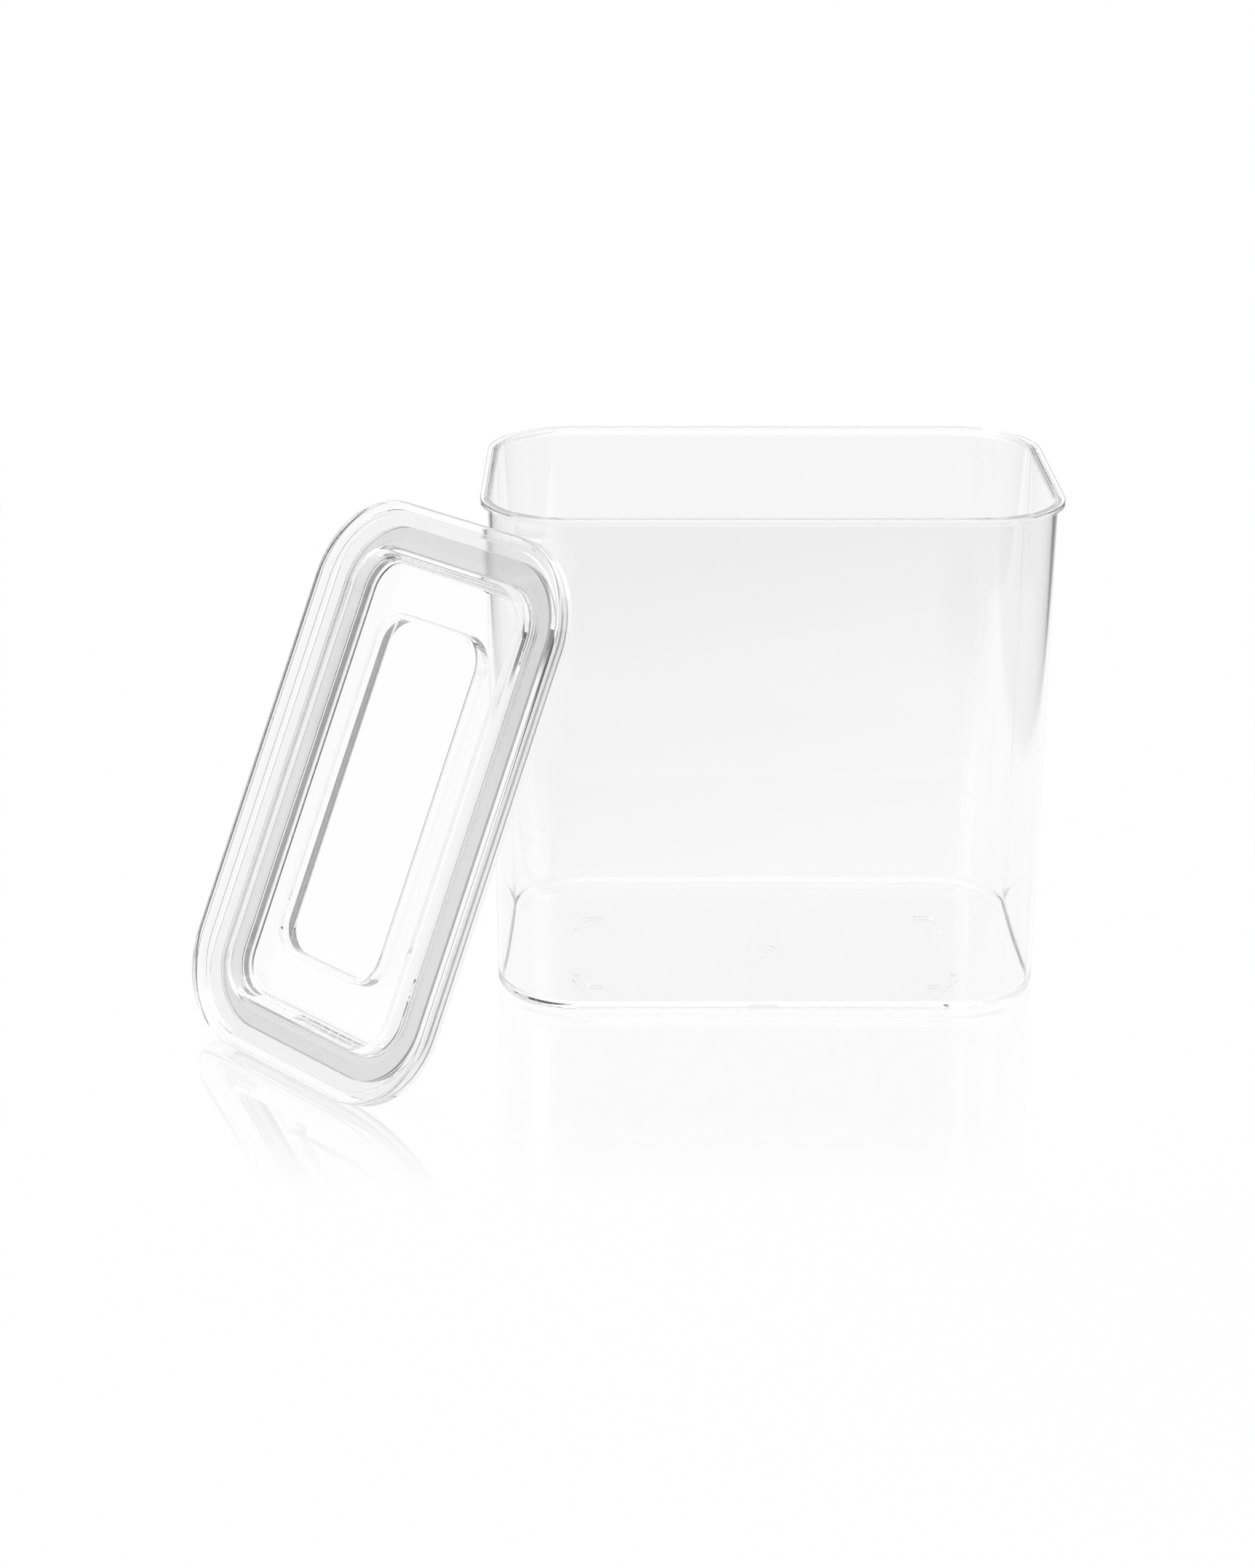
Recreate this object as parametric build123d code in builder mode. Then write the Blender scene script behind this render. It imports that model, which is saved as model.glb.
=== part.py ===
from build123d import *
from math import cos, hypot, radians, sin
import os

os.makedirs("parts", exist_ok=True)

# Clear storage box with a press-on lid that stands against its left end.
# Millimetres, +Z up. The origin lies on the table in the middle of the space that
# box and lid take up together. X runs along the box, Y from its front to its back.

# Box, rim
rim_length = 200.0
rim_depth = 123.0
box_height = 184.0
rim_corner_radius = 30.5
lip_projection = 2.25
lip_height = 2.0
lip_edge_radius = 0.3
lip_root_radius = 1.0

# Box, walls and floor
wall_thickness = 1.6
wall_taper = 1.4
base_corner_radius = 30.5
base_edge_radius = 3.2
floor_thickness = 3.0
floor_root_radius = 2.4
mouth_lead_in = 0.5
mouth_lead_depth = 1.5

# Box, corner ribs that it stands on, and the round mark under its floor
rib_height = 0.8
rib_width = 2.2
rib_margin = 26.9
rib_frame_radius = 9.0
rib_leg = 2.0
rib_frame_shift = 8.0
mark_diameter = 11.0
mark_depth = 0.4

# Lid, flange and the band round its edge, which rests on the rim when closed
end_reveal = 1.5
side_reveal = 0.5
lid_corner_radius = 32.5
flange_thickness = 2.4
flange_edge_radius = 1.2
band_depth = 6.5
band_thickness = 4.5
band_foot_radius = 0.4

# Lid, recess and the plug round it
recess_end_margin = 18.0
recess_side_margin = 20.0
recess_radius = 14.0
recess_depth = 9.2
recess_slope = 2.5
recess_edge_radius = 0.8
recess_root_radius = 1.2
plug_wall = 2.2
plug_floor = 2.4
plug_edge_radius = 0.8

# Lid, raised pad in the recess
pad_end_margin = 18.5
pad_side_margin = 14.25
pad_corner_share = 0.225
pad_height = 5.7
pad_slope = 0.4
pad_edge_radius = 0.8

# Gasket, and the groove in the plug that holds it
groove_start = 7.6
groove_width = 2.4
groove_depth = 0.8
groove_clearance = 0.1
gasket_reach = 8.0
gasket_height = 4.0
gasket_edge_radius = 0.3
shoulder_width = 3.2
shoulder_depth = 0.6
lip_drop = 1.1
lip_thickness = 0.9
wall_clearance = 0.4

# Pose of the lid: its lean from upright, the turn of its face to the left of
# the front, how far its middle lies to the left of the middle of the box when
# seen from its top face, and the gap between the gasket and the wall
lean_angle = 26.15
turn_angle = 45.4
lid_side_offset = 43.9
lean_gap = 0.2

# Sizes of the box that follow
wall_length = rim_length - 2 * lip_projection
wall_depth = rim_depth - 2 * lip_projection
wall_corner_radius = rim_corner_radius - lip_projection
base_length = wall_length - 2 * wall_taper
base_depth = wall_depth - 2 * wall_taper
mouth_length = wall_length - 2 * wall_thickness
mouth_depth = wall_depth - 2 * wall_thickness
mouth_radius = wall_corner_radius - wall_thickness
floor_length = base_length - 2 * wall_thickness
floor_depth = base_depth - 2 * wall_thickness
floor_radius = base_corner_radius - wall_thickness
floor_top = rib_height + floor_thickness
rib_frame_length = base_length - 2 * rib_margin
rib_frame_depth = base_depth - 2 * rib_margin
lead_share = mouth_lead_depth / (box_height - floor_top)
lead_length = mouth_length - (mouth_length - floor_length) * lead_share
lead_depth = mouth_depth - (mouth_depth - floor_depth) * lead_share
lead_radius = mouth_radius - (mouth_radius - floor_radius) * lead_share

# Sizes of the lid and the gasket that follow
lid_length = rim_length - 2 * end_reveal
lid_width = rim_depth - 2 * side_reveal
recess_length = lid_length - 2 * recess_end_margin
recess_width = lid_width - 2 * recess_side_margin
recess_floor_length = recess_length - 2 * recess_slope
recess_floor_width = recess_width - 2 * recess_slope
recess_floor_radius = recess_radius - recess_slope
pad_length = recess_length - 2 * pad_end_margin
pad_width = recess_width - 2 * pad_side_margin
pad_corner_radius = pad_width * pad_corner_share
plug_length = recess_length + 2 * plug_wall
plug_width = recess_width + 2 * plug_wall
plug_radius = recess_radius + plug_wall
plug_depth = recess_depth + plug_floor
groove_end = groove_start + groove_width
gasket_start = groove_start + (groove_width - gasket_height) / 2
gasket_end = gasket_start + gasket_height
lip_start = gasket_start + lip_drop
lip_end = lip_start + lip_thickness
gasket_length = mouth_length - 2 * wall_clearance
gasket_width = mouth_depth - 2 * wall_clearance
gasket_radius = mouth_radius - wall_clearance

# Place of the lid. Its lowest edge stands on the table, and the lip of the
# gasket comes to the wall at the front left corner of the box. A lid that
# reaches higher than the walls leans on the rim instead.
lean = radians(lean_angle)
turn = radians(turn_angle)
lid_middle_height = (
    (lid_length / 2 - band_foot_radius) * cos(lean)
    + (band_depth - band_foot_radius) * sin(lean)
    + band_foot_radius
)
body_climb = plug_length / 2 + gasket_reach
gasket_top = lid_middle_height + gasket_length / 2 * cos(lean) - lip_start * sin(lean)
on_rim = gasket_top > box_height - lip_height - lip_root_radius
rim_climb = (box_height - lid_middle_height + plug_depth * sin(lean)) / cos(lean)
rim_reach = rim_climb * sin(lean) + plug_depth * cos(lean)
body_reach = body_climb * sin(lean) + gasket_end * cos(lean)
lip_reach = gasket_length / 2 * sin(lean) + lip_end * cos(lean)
band_reach = lid_length / 2 * sin(lean) + band_depth * cos(lean)
touch_height = box_height if on_rim else gasket_top
touch_projection = lip_projection if on_rim else 0
touch_share = (touch_height - rib_height) / (box_height - rib_height)
touch_length = base_length + (wall_length - base_length) * touch_share
touch_depth = base_depth + (wall_depth - base_depth) * touch_share
touch_radius = base_corner_radius + (wall_corner_radius - base_corner_radius) * touch_share
corner_reach = (
    (touch_length / 2 - touch_radius) * sin(turn)
    + (touch_depth / 2 - touch_radius) * cos(turn)
    + touch_radius
    + touch_projection
)
lid_reach = rim_reach if on_rim else max(body_reach, lip_reach, band_reach)
lid_distance = corner_reach + lean_gap + lid_reach
lid_left = lid_distance * sin(turn) + lid_side_offset * cos(turn)
lid_front = lid_distance * cos(turn) - lid_side_offset * sin(turn)

# Place of the box, so that the origin is in the middle of box and lid together
lid_left_reach = (
    (lid_width / 2 - lid_corner_radius) * cos(turn)
    + (lid_length / 2 - lid_corner_radius) * sin(turn) * sin(lean)
    + (lid_corner_radius - flange_edge_radius) * hypot(cos(turn), sin(turn) * sin(lean))
    + flange_edge_radius * (1 - sin(turn) * cos(lean))
)
lid_front_reach = (
    (lid_width / 2 - lid_corner_radius) * sin(turn)
    + (lid_length / 2 - lid_corner_radius) * cos(turn) * sin(lean)
    + (lid_corner_radius - flange_edge_radius) * hypot(sin(turn), cos(turn) * sin(lean))
    + flange_edge_radius * (1 - cos(turn) * cos(lean))
)
box_x = (lid_left + lid_left_reach - rim_length / 2) / 2
box_y = (lid_front + lid_front_reach - rim_depth / 2) / 2
stand = Plane(origin=(box_x, box_y, 0))

# Top face of the lid, with X along its short side and Y up its long side
lid_face = Plane(
    origin=(box_x - lid_left, box_y - lid_front, lid_middle_height),
    x_dir=(cos(turn), -sin(turn), 0),
    z_dir=(-sin(turn) * cos(lean), -cos(turn) * cos(lean), sin(lean)),
)
lid_axis = Axis(lid_face.origin, lid_face.z_dir)
side_axis = Axis(lid_face.origin, lid_face.x_dir)
length_axis = Axis(lid_face.origin, lid_face.y_dir)

# Box
with BuildPart() as box:
    # Walls, leaning in to a base with rounder corners
    with BuildSketch(stand.offset(rib_height)):
        RectangleRounded(base_length, base_depth, base_corner_radius)
    with BuildSketch(stand.offset(box_height)):
        RectangleRounded(wall_length, wall_depth, wall_corner_radius)
    loft()
    fillet(box.faces().sort_by(Axis.Z)[0].edges(), base_edge_radius)

    # Lip round the rim, with a rounded root where it meets the walls
    with BuildSketch(stand.offset(box_height - lip_height)):
        RectangleRounded(rim_length, rim_depth, rim_corner_radius)
    extrude(amount=lip_height)
    lip_underside = box.faces().filter_by(Axis.Z).sort_by(Axis.Z)[-2]
    fillet(lip_underside.outer_wire().edges(), lip_edge_radius)
    lip_underside = box.faces().filter_by(Axis.Z).sort_by(Axis.Z)[-2]
    fillet(lip_underside.inner_wires()[0].edges(), lip_root_radius)

    # Inside, down to the floor
    with BuildSketch(stand.offset(floor_top)):
        RectangleRounded(floor_length, floor_depth, floor_radius)
    with BuildSketch(stand.offset(box_height)):
        RectangleRounded(mouth_length, mouth_depth, mouth_radius)
    loft(mode=Mode.SUBTRACT)
    fillet(box.faces().filter_by(Axis.Z).sort_by(Axis.Z)[1].edges(), floor_root_radius)

    # Lead-in that widens the mouth towards the rim
    with BuildSketch(stand.offset(box_height - mouth_lead_depth)):
        RectangleRounded(lead_length, lead_depth, lead_radius)
    with BuildSketch(stand.offset(box_height)):
        RectangleRounded(
            mouth_length + 2 * mouth_lead_in,
            mouth_depth + 2 * mouth_lead_in,
            mouth_radius + mouth_lead_in,
        )
    loft(mode=Mode.SUBTRACT)
    fillet(box.faces().sort_by(Axis.Z)[-1].edges(), lip_edge_radius)

    # Four corner ribs under the base
    with BuildSketch(stand.move(Location((0, -rib_frame_shift, 0)))):
        RectangleRounded(rib_frame_length, rib_frame_depth, rib_frame_radius)
        RectangleRounded(
            rib_frame_length - 2 * rib_width,
            rib_frame_depth - 2 * rib_width,
            rib_frame_radius - rib_width,
            mode=Mode.SUBTRACT,
        )
        Rectangle(
            rib_frame_length - 2 * (rib_frame_radius + rib_leg),
            rib_frame_depth,
            mode=Mode.SUBTRACT,
        )
        Rectangle(
            rib_frame_length,
            rib_frame_depth - 2 * (rib_frame_radius + rib_leg),
            mode=Mode.SUBTRACT,
        )
    extrude(amount=rib_height)

    # Round mark in the underside
    with BuildSketch(stand.offset(rib_height)):
        Circle(mark_diameter / 2)
    extrude(amount=mark_depth, mode=Mode.SUBTRACT)

box.part.label = "box"
export_step(box.part, "parts/box.step")

# Lid
with BuildPart() as lid:
    # Flange with a rounded edge
    with BuildSketch(lid_face.offset(-band_depth)):
        RectangleRounded(lid_width, lid_length, lid_corner_radius)
    extrude(amount=band_depth)
    fillet(lid.faces().sort_by(lid_axis)[-1].edges(), flange_edge_radius)

    # Space under the flange, which leaves the band that stands on the rim
    with BuildSketch(lid_face.offset(-band_depth)):
        RectangleRounded(
            lid_width - 2 * band_thickness,
            lid_length - 2 * band_thickness,
            lid_corner_radius - band_thickness,
        )
    extrude(amount=band_depth - flange_thickness, mode=Mode.SUBTRACT)
    fillet(lid.faces().sort_by(lid_axis)[0].edges(), band_foot_radius)

    # Plug that enters the mouth of the box
    with BuildSketch(lid_face.offset(-plug_depth)):
        RectangleRounded(plug_width, plug_length, plug_radius)
    extrude(amount=plug_depth - flange_thickness)
    fillet(lid.faces().sort_by(lid_axis)[0].edges(), plug_edge_radius)

    # Recess in the top, with sloping sides
    with BuildSketch(lid_face.offset(-recess_depth)):
        RectangleRounded(recess_floor_width, recess_floor_length, recess_floor_radius)
    with BuildSketch(lid_face):
        RectangleRounded(recess_width, recess_length, recess_radius)
    loft(mode=Mode.SUBTRACT)
    fillet(
        lid.faces().filter_by(lid_axis).sort_by(lid_axis)[-1].inner_wires()[0].edges(),
        recess_edge_radius,
    )
    fillet(lid.faces().filter_by(lid_axis).sort_by(lid_axis)[1].edges(), recess_root_radius)

    # Raised pad on the floor of the recess, hollow from below
    with BuildSketch(lid_face.offset(-recess_depth)):
        RectangleRounded(pad_width, pad_length, pad_corner_radius)
    with BuildSketch(lid_face.offset(pad_height - recess_depth)):
        RectangleRounded(
            pad_width - 2 * pad_slope,
            pad_length - 2 * pad_slope,
            pad_corner_radius - pad_slope,
        )
    loft()
    fillet(lid.faces().filter_by(lid_axis).sort_by(lid_axis)[-3].edges(), pad_edge_radius)
    with BuildSketch(lid_face.offset(-plug_depth)):
        RectangleRounded(
            pad_width - 2 * plug_wall,
            pad_length - 2 * plug_wall,
            pad_corner_radius - plug_wall,
        )
    extrude(amount=pad_height, mode=Mode.SUBTRACT)

    # Groove round the plug for the gasket
    with BuildSketch(lid_face.offset(-groove_end)):
        RectangleRounded(
            plug_width + 2 * groove_depth,
            plug_length + 2 * groove_depth,
            plug_radius + groove_depth,
        )
        RectangleRounded(
            plug_width - 2 * groove_depth,
            plug_length - 2 * groove_depth,
            plug_radius - groove_depth,
            mode=Mode.SUBTRACT,
        )
    extrude(amount=groove_width, mode=Mode.SUBTRACT)

lid.part.label = "lid"
export_step(lid.part, "parts/lid.step")

# Gasket
with BuildPart() as gasket:
    # Body round the plug
    with BuildSketch(lid_face.offset(-gasket_end)):
        RectangleRounded(
            plug_width + 2 * gasket_reach,
            plug_length + 2 * gasket_reach,
            plug_radius + gasket_reach,
        )
    extrude(amount=gasket_height)
    fillet(gasket.faces().filter_by(lid_axis).edges(), gasket_edge_radius)

    # Thin lip round the body, which wipes the wall of the box
    with BuildSketch(lid_face.offset(-lip_end)):
        RectangleRounded(gasket_width, gasket_length, gasket_radius)
    extrude(amount=lip_thickness)
    lip_side = gasket.faces().sort_by(side_axis)[-1]
    fillet(lip_side.edges().filter_by(length_axis), gasket_edge_radius)

    # Shoulder, where the body is thinner next to the plug
    with BuildSketch(lid_face.offset(-gasket_start - shoulder_depth)):
        RectangleRounded(
            plug_width + 2 * shoulder_width,
            plug_length + 2 * shoulder_width,
            plug_radius + shoulder_width,
        )
    extrude(amount=shoulder_depth, mode=Mode.SUBTRACT)

    # Opening for the plug
    with BuildSketch(lid_face.offset(-gasket_end)):
        RectangleRounded(
            plug_width + 2 * groove_clearance,
            plug_length + 2 * groove_clearance,
            plug_radius + groove_clearance,
        )
    extrude(amount=gasket_height, mode=Mode.SUBTRACT)

    # Root that sits in the groove
    with BuildSketch(lid_face.offset(groove_clearance - groove_end)):
        RectangleRounded(
            plug_width + 2 * groove_depth,
            plug_length + 2 * groove_depth,
            plug_radius + groove_depth,
        )
        RectangleRounded(
            plug_width - 2 * (groove_depth - groove_clearance),
            plug_length - 2 * (groove_depth - groove_clearance),
            plug_radius - groove_depth + groove_clearance,
            mode=Mode.SUBTRACT,
        )
    extrude(amount=groove_width - 2 * groove_clearance)

gasket.part.label = "gasket"
export_step(gasket.part, "parts/gasket.step")
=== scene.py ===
from math import pi

import bmesh
import bpy
from bpy.props import FloatProperty, FloatVectorProperty, PointerProperty
from bpy.types import Operator, Panel, PropertyGroup
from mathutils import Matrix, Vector


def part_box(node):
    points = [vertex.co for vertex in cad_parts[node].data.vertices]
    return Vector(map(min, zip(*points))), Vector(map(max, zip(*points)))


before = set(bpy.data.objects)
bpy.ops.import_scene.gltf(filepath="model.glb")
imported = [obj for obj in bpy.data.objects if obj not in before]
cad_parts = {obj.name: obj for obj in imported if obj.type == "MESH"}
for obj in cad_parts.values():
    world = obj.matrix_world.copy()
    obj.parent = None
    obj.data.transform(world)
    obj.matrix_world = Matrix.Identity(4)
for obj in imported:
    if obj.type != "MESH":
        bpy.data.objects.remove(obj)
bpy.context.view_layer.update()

bl_info = {
    "name": "Clear Storage Box",
    "version": (1, 0, 0),
    "blender": (4, 5, 0),
    "location": "View3D > Sidebar > Storage Box",
    "description": "Finishes a clear box, its lid and its gasket, in a white studio",
    "category": "Object",
}

WHITE = (1.0, 1.0, 1.0, 1.0)

# Plastic of the box, a little greyer than that of the lid
BOX_COLOUR = (0.984, 0.984, 0.984)

# Rubbing marks on the plastic, drawn out along the height, and the part of
# their noise that shows
RUBBING_SCALE = 90.0
RUBBING_DETAIL = 4.0
RUBBING_STRETCH = (1.0, 1.0, 0.15)
RUBBING_SPAN = (0.45, 0.8)

# Faint waves from the mould
WAVE_SCALE = 14.0
WAVE_DETAIL = 1.0
WAVE_HEIGHT = 0.001

# Silicone and its fine grain
SILICONE_IOR = 1.41
GRAIN_SCALE = 1400.0
GRAIN_DETAIL = 2.0
GRAIN_SPAN = (0.3, 0.7)
GRAIN_ROUGHNESS = 0.05
GRAIN_STRENGTH = 0.15
GRAIN_HEIGHT = 0.0001

# Camera: longer side of the picture on the sensor in millimetres, and farthest sight
PICTURE_SIDE = 36.0
CAMERA_REACH = 50.0

# Floor: gap under the feet, paint, blur of its polish, and the distances from
# the box between which it turns plain white
FLOOR_GAP = 0.0003
FLOOR_PAINT = (0.9, 0.9, 0.9, 1.0)
POLISH_BLUR = 0.03
GLOW_SPAN = (0.3, 0.9)

# Share of its width over which the floor is white in reflections before painted shade darkens its
# sides
WHITE_SHARE = 0.85

# Directions in which the floor and the room are less bright, and how far out
FLOOR_DARK_SIDE = (-0.6, -1.0, 0.0)
FLOOR_DARK_SPAN = (0.15, 0.42)
ROOM_DARK_SIDE = (0.0, -1.0, 0.0)
ROOM_DARK_SPAN = (0.3, 0.9)
ROOM_SIDE_SPAN = (0.5, 0.85)

# Lamps: name, place, length of the sides and share of the lamp power
LAMP_AIM = (0.0, 0.0, 0.1)
LAMPS = (
    ("Large lamp overhead", (-0.2, 0.1, 1.6), 1.4, 1.0),
    ("Soft lamp from the left", (-1.3, -0.9, 0.9), 0.8, 1.0 / 3.0),
)

# Most times that light is followed from surface to surface, enough for light
# that runs along inside a wall of the box
LIGHT_STEPS = 200
CLEAR_STEPS = 32
DIFFUSE_STEPS = 4


# Node helpers

def new_material(name):
    """A material under this name with an empty node tree, the tree and its output."""
    old = bpy.data.materials.get(name)
    if old is not None:
        bpy.data.materials.remove(old)
    material = bpy.data.materials.new(name)
    material.use_nodes = True
    tree = material.node_tree
    tree.nodes.clear()
    return material, tree, tree.nodes.new("ShaderNodeOutputMaterial")


def add_node(tree, kind, label, **inputs):
    """A node of this kind with its sockets set by name."""
    node = tree.nodes.new(kind)
    node.label = label
    for socket, value in inputs.items():
        node.inputs[socket.replace("_", " ")].default_value = value
    return node


def math_node(tree, operation, first, second):
    """A Math node that takes sockets or plain numbers."""
    node = tree.nodes.new("ShaderNodeMath")
    node.operation = operation
    for socket, value in zip(node.inputs, (first, second)):
        if isinstance(value, (int, float)):
            socket.default_value = value
        else:
            tree.links.new(value, socket)
    return node.outputs["Value"]


def vector_node(tree, operation, vector, other=(0.0, 0.0, 0.0)):
    """A Vector Math node that takes a socket and plain numbers."""
    node = tree.nodes.new("ShaderNodeVectorMath")
    node.operation = operation
    node.inputs[1].default_value = other
    tree.links.new(vector, node.inputs[0])
    return node


def separate(tree, vector):
    """The sockets X, Y and Z of a vector."""
    node = add_node(tree, "ShaderNodeSeparateXYZ", "Parts of the place")
    tree.links.new(vector, node.inputs["Vector"])
    return node.outputs


def mix_shaders(tree, label, share, first, second):
    """The second shader by this share, the first one by the rest."""
    node = add_node(tree, "ShaderNodeMixShader", label)
    for socket, source in zip(node.inputs, (share, first, second)):
        tree.links.new(source, socket)
    return node.outputs["Shader"]


def noise(tree, place, label, scale, detail, stretch=(1.0, 1.0, 1.0)):
    """Noise on Object coordinates, scaled per metre and stretched along an axis."""
    mapping = add_node(tree, "ShaderNodeMapping", label + " size", Scale=stretch)
    texture = add_node(tree, "ShaderNodeTexNoise", label, Scale=scale, Detail=detail)
    tree.links.new(place, mapping.inputs["Vector"])
    tree.links.new(mapping.outputs["Vector"], texture.inputs["Vector"])
    return texture.outputs["Fac"]


def map_range(tree, source, label, span, low, high):
    """Spreads the part of a value inside the span over the range from low to high."""
    node = add_node(tree, "ShaderNodeMapRange", label, To_Min=low, To_Max=high)
    node.inputs["From Min"].default_value, node.inputs["From Max"].default_value = span
    tree.links.new(source, node.inputs["Value"])
    return node.outputs["Result"]


def ramp(tree, source, span):
    """0 below the span, 1 above it, and smooth between its ends."""
    node = add_node(tree, "ShaderNodeMapRange", "Ramp")
    node.interpolation_type = "SMOOTHSTEP"
    node.inputs["From Min"].default_value, node.inputs["From Max"].default_value = span
    tree.links.new(source, node.inputs["Value"])
    return node.outputs["Result"]


# Materials of the pieces

def raise_surface(tree, shader, height, label, strength, distance):
    """Lets noise raise the shader's surface a little."""
    bump = add_node(tree, "ShaderNodeBump", label, Strength=strength, Distance=distance)
    tree.links.new(height, bump.inputs["Height"])
    tree.links.new(bump.outputs["Normal"], shader.inputs["Normal"])


def let_light_in(tree, output, shader, label, settings):
    """Shows the shader, passes the lamps' light with a slight loss, and greys the depth."""
    share = settings.lamp_share
    path = add_node(tree, "ShaderNodeLightPath", "Kind of ray")
    passing = add_node(
        tree, "ShaderNodeBsdfTransparent", "Lamp light that passes",
        Color=(share, share, share, 1.0),
    )
    surface = mix_shaders(
        tree, "Lamp light or view",
        path.outputs["Is Shadow Ray"], shader.outputs["BSDF"], passing.outputs["BSDF"],
    )
    depth = add_node(
        tree, "ShaderNodeVolumeAbsorption", label,
        Color=(*settings.depth_colour, 1.0), Density=settings.depth,
    )
    tree.links.new(surface, output.inputs["Surface"])
    tree.links.new(depth.outputs["Volume"], output.inputs["Volume"])


def clear_plastic(name, settings):
    """Polished clear plastic with faint mould waves, rubbing marks and a grey depth."""
    material, tree, output = new_material(name)
    place = add_node(tree, "ShaderNodeTexCoord", "Place on the piece").outputs["Object"]
    shader = add_node(
        tree, "ShaderNodeBsdfPrincipled", "Clear plastic",
        Base_Color=(*settings.colour, 1.0), IOR=settings.ior, Transmission_Weight=1.0,
    )
    marks = noise(tree, place, "Rubbing marks", RUBBING_SCALE, RUBBING_DETAIL, RUBBING_STRETCH)
    roughness = map_range(
        tree, marks, "Marks to roughness", RUBBING_SPAN,
        settings.roughness, settings.roughness + settings.rubbing,
    )
    tree.links.new(roughness, shader.inputs["Roughness"])
    waves = noise(tree, place, "Mould waves", WAVE_SCALE, WAVE_DETAIL)
    raise_surface(tree, shader, waves, "Wavy surface", settings.waviness, WAVE_HEIGHT)
    let_light_in(tree, output, shader, "Grey depth", settings)
    return material


def soft_silicone(name, settings):
    """Milky, slightly grainy silicone that lets light through."""
    material, tree, output = new_material(name)
    place = add_node(tree, "ShaderNodeTexCoord", "Place on the piece").outputs["Object"]
    shader = add_node(
        tree, "ShaderNodeBsdfPrincipled", "Silicone",
        Base_Color=(*settings.colour, 1.0), IOR=SILICONE_IOR,
        Transmission_Weight=settings.clearness,
    )
    grain = noise(tree, place, "Fine grain", GRAIN_SCALE, GRAIN_DETAIL)
    roughness = map_range(
        tree, grain, "Grain to roughness", GRAIN_SPAN,
        settings.roughness - GRAIN_ROUGHNESS, settings.roughness + GRAIN_ROUGHNESS,
    )
    tree.links.new(roughness, shader.inputs["Roughness"])
    raise_surface(tree, shader, grain, "Grainy surface", GRAIN_STRENGTH, GRAIN_HEIGHT)
    let_light_in(tree, output, shader, "Milky depth", settings)
    return material


def dress(node, material):
    """Puts the material on every slot of a CAD node."""
    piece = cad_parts[node]
    if not piece.material_slots:
        piece.data.materials.append(material)
    for place in piece.material_slots:
        place.material = material


# Settings

class StorageBoxPlastic(PropertyGroup):
    """Clear plastic of the box or of the lid"""
    colour: FloatVectorProperty(
        name="Colour", description="Tint of the surface",
        default=(0.995, 0.995, 0.995), size=3, min=0.0, max=1.0, subtype="COLOR",
    )
    depth_colour: FloatVectorProperty(
        name="Colour in Depth",
        description="Tint that grows with the length of the way through the plastic",
        default=(0.50, 0.50, 0.50), size=3, min=0.0, max=1.0, subtype="COLOR",
    )
    depth: FloatProperty(
        name="Depth", description="How fast the plastic darkens with depth, per metre",
        default=2.0, min=0.0,
    )
    ior: FloatProperty(
        name="Index of Refraction", description="How strongly the plastic bends light",
        default=1.49,
    )
    roughness: FloatProperty(
        name="Roughness", description="Roughness of the polished surface",
        default=0.006, subtype="FACTOR",
    )
    rubbing: FloatProperty(
        name="Rubbing", description="Roughness that fine rubbing marks add",
        default=0.03, subtype="FACTOR",
    )
    waviness: FloatProperty(
        name="Waviness", description="Strength of the faint waves from the mould",
        default=0.03, subtype="FACTOR",
    )
    lamp_share: FloatProperty(
        name="Lamp Light", description="Share of the lamps' light that passes a surface",
        default=0.97, subtype="FACTOR",
    )


class StorageBoxSilicone(PropertyGroup):
    """Silicone of the gasket"""
    colour: FloatVectorProperty(
        name="Colour", description="Colour of the silicone",
        default=(0.97, 0.97, 0.97), size=3, min=0.0, max=1.0, subtype="COLOR",
    )
    depth_colour: FloatVectorProperty(
        name="Colour in Depth",
        description="Tint that grows with the length of the way through the silicone",
        default=(0.50, 0.50, 0.50), size=3, min=0.0, max=1.0, subtype="COLOR",
    )
    depth: FloatProperty(
        name="Depth", description="How fast the silicone darkens with depth, per metre",
        default=130.0, min=0.0,
    )
    clearness: FloatProperty(
        name="Clearness", description="Share of the light that the silicone lets through",
        default=0.96, subtype="FACTOR",
    )
    roughness: FloatProperty(
        name="Roughness", description="Roughness of the satin surface",
        default=0.2, subtype="FACTOR",
    )
    lamp_share: FloatProperty(
        name="Lamp Light", description="Share of the lamps' light that passes a surface",
        default=0.9, subtype="FACTOR",
    )


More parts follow.
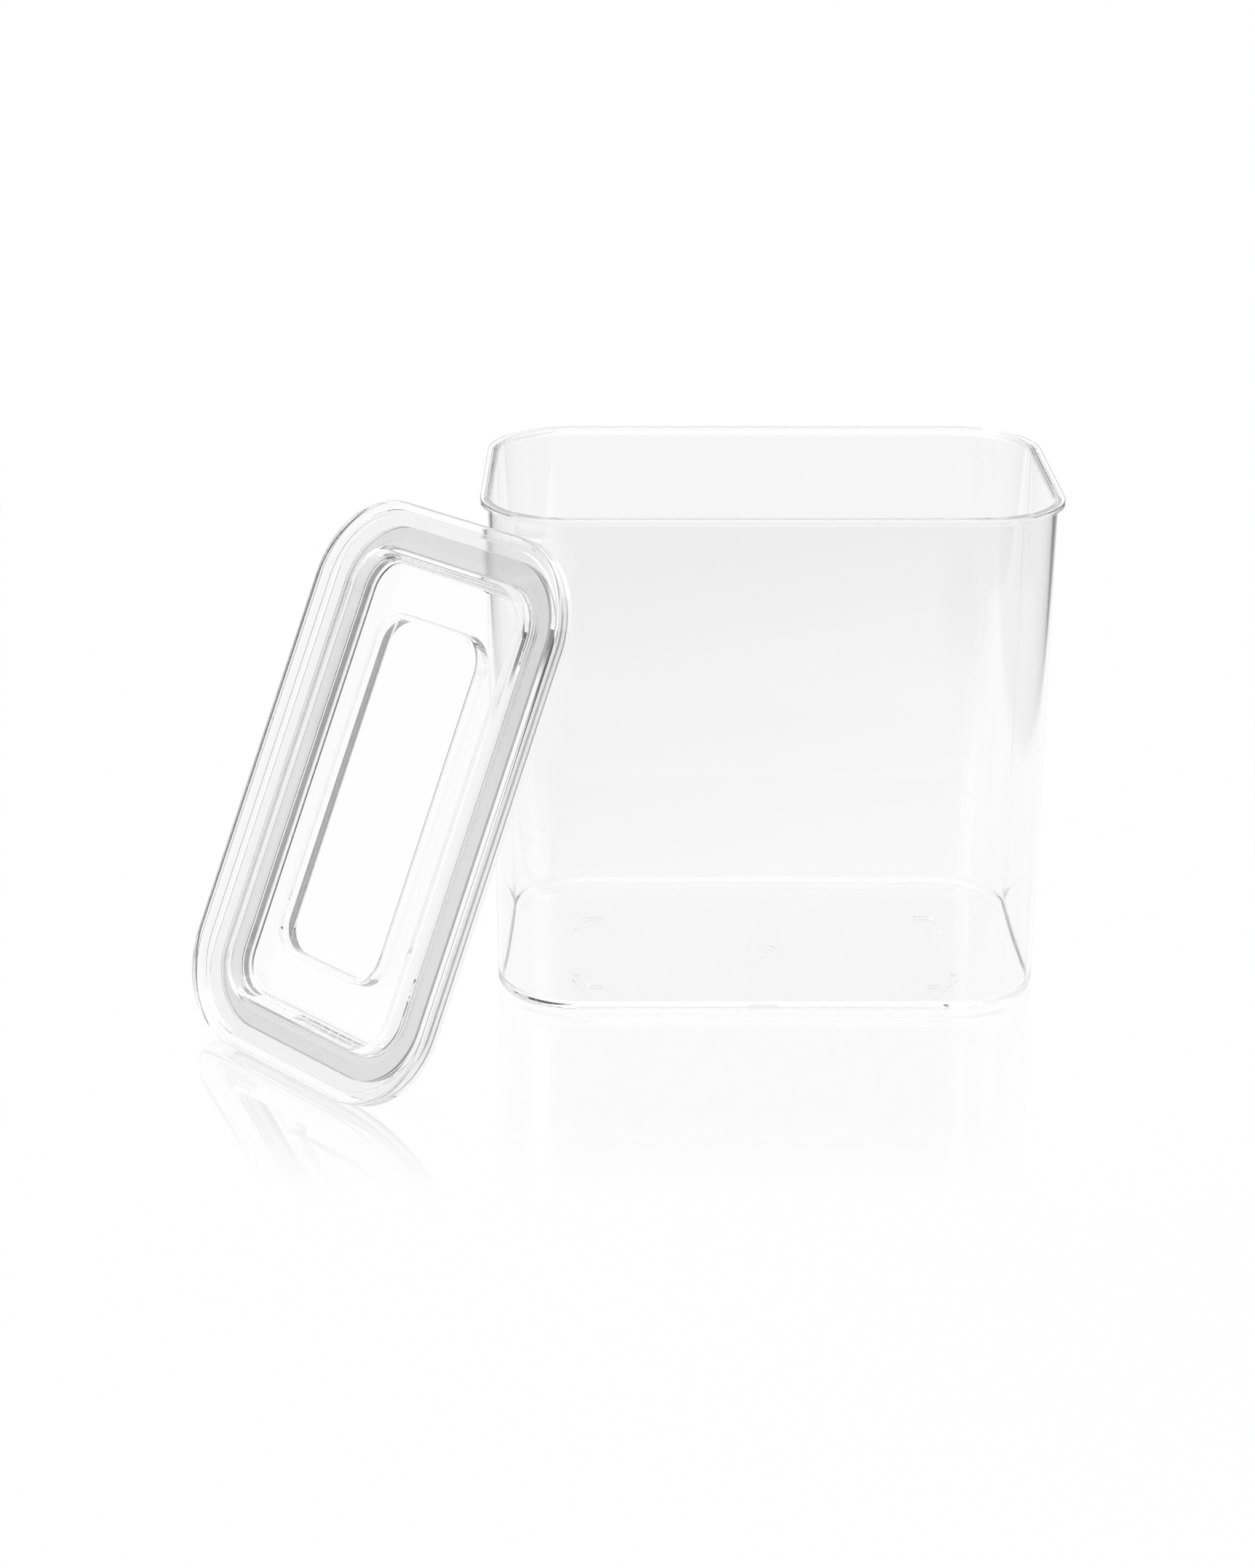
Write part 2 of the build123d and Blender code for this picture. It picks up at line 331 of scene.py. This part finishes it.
class StorageBoxStudio(PropertyGroup):
    """Camera, floor and light"""
    camera_place: FloatVectorProperty(
        name="Camera Place",
        description="Place of the camera, from the middle of the underside of the box",
        default=(-0.049572, -1.001343, 0.463956), size=3, subtype="TRANSLATION", unit="LENGTH",
    )
    camera_tilt: FloatProperty(
        name="Camera Tilt", description="How far the camera looks down",
        default=0.3226, subtype="ANGLE", unit="ROTATION",
    )
    camera_lens: FloatProperty(
        name="Lens", description="Focal length in millimetres for a 36 mm high picture",
        default=67.717,
    )
    camera_shift: FloatProperty(
        name="Shift", description="Upright shift of the picture as a share of its height",
        default=-0.10575,
    )
    floor_size: FloatProperty(
        name="Floor", description="Length of the sides of the floor",
        default=8.0, unit="LENGTH",
    )
    floor_gloss: FloatProperty(
        name="Floor Gloss", description="Share of the floor that mirrors",
        default=0.25, subtype="FACTOR",
    )
    floor_glow: FloatProperty(
        name="Floor White", description="Share of the floor near the box that is plain white",
        default=0.92, subtype="FACTOR",
    )
    gloss_start: FloatProperty(
        name="Polish Start",
        description="Where the mirroring part of the floor starts to fade, from the box's middle",
        default=-0.12, unit="LENGTH",
    )
    gloss_fade: FloatProperty(
        name="Polish Fade",
        description="Length over which the mirroring fades towards the camera",
        default=0.07, unit="LENGTH",
    )
    white_width: FloatProperty(
        name="White Width",
        description="Distance to either side at which the floor is dark in reflections",
        default=0.36, unit="LENGTH",
    )
    floor_sides: FloatProperty(
        name="Floor Sides", description="Brightness of the floor's sides in reflections",
        default=0.0, subtype="FACTOR",
    )
    floor_front: FloatProperty(
        name="Floor Front", description="Brightness of the floor's front in reflections",
        default=0.15, subtype="FACTOR",
    )
    lamp_power: FloatProperty(
        name="Lamp Power", description="Power of the large lamp over the object",
        default=8.0, unit="POWER",
    )
    room_light: FloatProperty(
        name="Room Light", description="Strength of the plain light from all round",
        default=0.75,
    )
    walls: FloatProperty(
        name="Walls", description="Brightness of the side walls in reflections",
        default=0.9, subtype="FACTOR",
    )
    room_front: FloatProperty(
        name="Room Front", description="Brightness of the front of the room in reflections",
        default=0.1, subtype="FACTOR",
    )


# Pieces

class STORAGEBOX_OT_box(Operator):
    """Finish the box in clear plastic"""
    bl_idname = "storagebox.box"
    bl_label = "Box"

    def execute(self, context):
        dress("box", clear_plastic("Clear box plastic", context.scene.storage_box_box))
        return {"FINISHED"}


class STORAGEBOX_OT_lid(Operator):
    """Finish the lid in clear plastic"""
    bl_idname = "storagebox.lid"
    bl_label = "Lid"

    def execute(self, context):
        dress("lid", clear_plastic("Clear lid plastic", context.scene.storage_box_lid))
        return {"FINISHED"}


class STORAGEBOX_OT_gasket(Operator):
    """Finish the gasket in milky silicone"""
    bl_idname = "storagebox.gasket"
    bl_label = "Gasket"

    def execute(self, context):
        dress("gasket", soft_silicone("Milky silicone", context.scene.storage_box_gasket))
        return {"FINISHED"}


# Stage

def box_foot():
    """Middle of the underside of the box."""
    low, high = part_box("box")
    return Vector(((low.x + high.x) / 2, (low.y + high.y) / 2, low.z))


def make_camera(scene, studio):
    """The camera, level from side to side and tilted down at the box."""
    data = bpy.data.cameras.new("Camera")
    data.sensor_width = PICTURE_SIDE
    data.sensor_fit = "AUTO"
    data.lens = studio.camera_lens
    data.shift_y = studio.camera_shift
    data.clip_end = CAMERA_REACH
    camera = bpy.data.objects.new("Camera", data)
    camera.location = box_foot() + Vector(studio.camera_place)
    camera.rotation_euler = (pi / 2 - studio.camera_tilt, 0.0, 0.0)
    scene.collection.objects.link(camera)
    scene.camera = camera


def make_lamp(scene, name, place, side, power):
    """A square lamp that shines on the object and isn't seen itself."""
    data = bpy.data.lights.new(name, "AREA")
    data.shape = "SQUARE"
    data.size = side
    data.energy = power
    lamp = bpy.data.objects.new(name, data)
    lamp.location = place
    lamp.rotation_euler = (Vector(LAMP_AIM) - Vector(place)).to_track_quat("-Z", "Y").to_euler()
    lamp.visible_camera = False
    scene.collection.objects.link(lamp)


def view_share(tree):
    """1 for rays that show a surface to the camera, straight or by way of the object."""
    path = add_node(tree, "ShaderNodeLightPath", "Kind of ray")
    share = path.outputs["Is Camera Ray"]
    for kind in ("Is Glossy Ray", "Is Transmission Ray"):
        share = math_node(tree, "MAXIMUM", share, path.outputs[kind])
    return share


def darken(tree, share, level):
    """1 where the share is 0, and the level where it is 1."""
    loss = math_node(tree, "SUBTRACT", 1.0, level)
    return math_node(tree, "SUBTRACT", 1.0, math_node(tree, "MULTIPLY", share, loss))


def brightness(tree, place, side_span, side_level, dark_side, dark_span, dark_level):
    """Brightness of the studio: less far out to both sides, and less on its dark side."""
    sideways = math_node(tree, "ABSOLUTE", separate(tree, place)["X"], 0.0)
    outwards = vector_node(tree, "DOT_PRODUCT", place, dark_side).outputs["Value"]
    return math_node(
        tree, "MULTIPLY",
        darken(tree, ramp(tree, sideways, side_span), side_level),
        darken(tree, ramp(tree, outwards, dark_span), dark_level),
    )


def in_reflections(tree, level, times):
    """The level for light that was mirrored this many times or more, and 1 for other light."""
    path = add_node(tree, "ShaderNodeLightPath", "Times mirrored")
    mirrored = math_node(tree, "GREATER_THAN", path.outputs["Glossy Depth"], times - 0.5)
    return darken(tree, mirrored, level)


def floor_material(studio):
    """White paint with some polish near the box, with painted shade to its sides and front that
    shows only in reflections.
    """
    material, tree, output = new_material("White floor")
    paint = add_node(tree, "ShaderNodeBsdfDiffuse", "White paint", Color=FLOOR_PAINT)
    white = add_node(tree, "ShaderNodeEmission", "Plain white", Strength=1.0)
    polish = add_node(
        tree, "ShaderNodeBsdfGlossy", "Polish", Color=WHITE, Roughness=POLISH_BLUR
    )
    place = add_node(tree, "ShaderNodeTexCoord", "Place on the floor").outputs["Object"]
    from_box = vector_node(tree, "SUBTRACT", place, box_foot()).outputs["Vector"]
    level = brightness(
        tree, from_box, (studio.white_width * WHITE_SHARE, studio.white_width),
        studio.floor_sides, FLOOR_DARK_SIDE, FLOOR_DARK_SPAN, studio.floor_front,
    )
    # Painted shade: the white glow is darkened to the sides and front of the box for rays
    # mirrored once or more, standing in for a dark studio in the plastic's reflections, while the
    # camera sees the floor plain white
    tree.links.new(in_reflections(tree, level, 1), white.inputs["Strength"])
    distance = vector_node(tree, "LENGTH", from_box).outputs["Value"]
    glow = map_range(tree, distance, "White far away", GLOW_SPAN, studio.floor_glow, 1.0)
    ground = mix_shaders(
        tree, "Paint or plain white", math_node(tree, "MULTIPLY", view_share(tree), glow),
        paint.outputs["BSDF"], white.outputs["Emission"],
    )
    near_box = ramp(
        tree, separate(tree, from_box)["Y"],
        (studio.gloss_start - studio.gloss_fade, studio.gloss_start),
    )
    whole = mix_shaders(
        tree, "Polished floor", math_node(tree, "MULTIPLY", near_box, studio.floor_gloss),
        ground, polish.outputs["BSDF"],
    )
    tree.links.new(whole, output.inputs["Surface"])
    return material


def make_floor(scene, studio):
    """A square floor just under the feet of the box."""
    mesh = bpy.data.meshes.new("Floor")
    bm = bmesh.new()
    bmesh.ops.create_grid(bm, x_segments=1, y_segments=1, size=studio.floor_size / 2)
    bmesh.ops.translate(bm, vec=(0.0, 0.0, -FLOOR_GAP), verts=bm.verts)
    bm.to_mesh(mesh)
    bm.free()
    mesh.materials.append(floor_material(studio))
    floor = bpy.data.objects.new("Floor", mesh)
    scene.collection.objects.link(floor)


def make_room(scene, studio):
    """White, with a darker front and sides for rays that are mirrored twice."""
    world = bpy.data.worlds.new("Studio")
    world.use_nodes = True
    tree = world.node_tree
    tree.nodes.clear()
    output = tree.nodes.new("ShaderNodeOutputWorld")
    direction = add_node(tree, "ShaderNodeTexCoord", "Direction").outputs["Generated"]
    level = brightness(
        tree, direction, ROOM_SIDE_SPAN, studio.walls,
        ROOM_DARK_SIDE, ROOM_DARK_SPAN, studio.room_front,
    )
    seen = add_node(tree, "ShaderNodeBackground", "Room that is seen", Color=WHITE)
    tree.links.new(in_reflections(tree, level, 2), seen.inputs["Strength"])
    lit = add_node(
        tree, "ShaderNodeBackground", "Light of the room", Color=WHITE, Strength=studio.room_light
    )
    room = mix_shaders(
        tree, "Light or view", view_share(tree),
        lit.outputs["Background"], seen.outputs["Background"],
    )
    tree.links.new(room, output.inputs["Surface"])
    scene.world = world


def follow_light(scene):
    """Lets Cycles follow light through all the walls of the clear pieces."""
    cycles = scene.cycles
    cycles.max_bounces = LIGHT_STEPS
    cycles.transmission_bounces = LIGHT_STEPS
    cycles.glossy_bounces = LIGHT_STEPS
    cycles.transparent_max_bounces = CLEAR_STEPS
    cycles.diffuse_bounces = DIFFUSE_STEPS
    cycles.use_denoising = True
    cycles.caustics_reflective = True
    cycles.caustics_refractive = True


class STORAGEBOX_OT_stage(Operator):
    """Set up the camera, the white floor, the room and the lamps"""
    bl_idname = "storagebox.stage"
    bl_label = "Studio"

    def execute(self, context):
        scene = context.scene
        studio = scene.storage_box_studio
        make_camera(scene, studio)
        make_floor(scene, studio)
        make_room(scene, studio)
        for name, place, side, share in LAMPS:
            make_lamp(scene, name, place, side, studio.lamp_power * share)
        scene.view_settings.view_transform = "Standard"
        follow_light(scene)
        return {"FINISHED"}


class STORAGEBOX_PT_panel(Panel):
    """Settings and pieces of the storage box"""
    bl_idname = "STORAGEBOX_PT_panel"
    bl_label = "Storage Box"
    bl_space_type = "VIEW_3D"
    bl_region_type = "UI"
    bl_category = "Storage Box"

    def draw(self, context):
        scene = context.scene
        for title, group, operator in (
            ("Box", scene.storage_box_box, "storagebox.box"),
            ("Lid", scene.storage_box_lid, "storagebox.lid"),
            ("Gasket", scene.storage_box_gasket, "storagebox.gasket"),
            ("Studio", scene.storage_box_studio, "storagebox.stage"),
        ):
            column = self.layout.box().column()
            column.label(text=title)
            for name in group.__annotations__:
                column.prop(group, name)
            column.operator(operator)


CLASSES = (
    StorageBoxPlastic,
    StorageBoxSilicone,
    StorageBoxStudio,
    STORAGEBOX_OT_box,
    STORAGEBOX_OT_lid,
    STORAGEBOX_OT_gasket,
    STORAGEBOX_OT_stage,
    STORAGEBOX_PT_panel,
)


def register():
    for cls in CLASSES:
        bpy.utils.register_class(cls)
    bpy.types.Scene.storage_box_box = PointerProperty(type=StorageBoxPlastic)
    bpy.types.Scene.storage_box_lid = PointerProperty(type=StorageBoxPlastic)
    bpy.types.Scene.storage_box_gasket = PointerProperty(type=StorageBoxSilicone)
    bpy.types.Scene.storage_box_studio = PointerProperty(type=StorageBoxStudio)


def unregister():
    del bpy.types.Scene.storage_box_studio
    del bpy.types.Scene.storage_box_gasket
    del bpy.types.Scene.storage_box_lid
    del bpy.types.Scene.storage_box_box
    for cls in reversed(CLASSES):
        bpy.utils.unregister_class(cls)


def main():
    register()
    bpy.context.scene.storage_box_box.colour = BOX_COLOUR
    bpy.ops.storagebox.box()
    bpy.ops.storagebox.lid()
    bpy.ops.storagebox.gasket()
    bpy.ops.storagebox.stage()


if __name__ == "__main__":
    main()
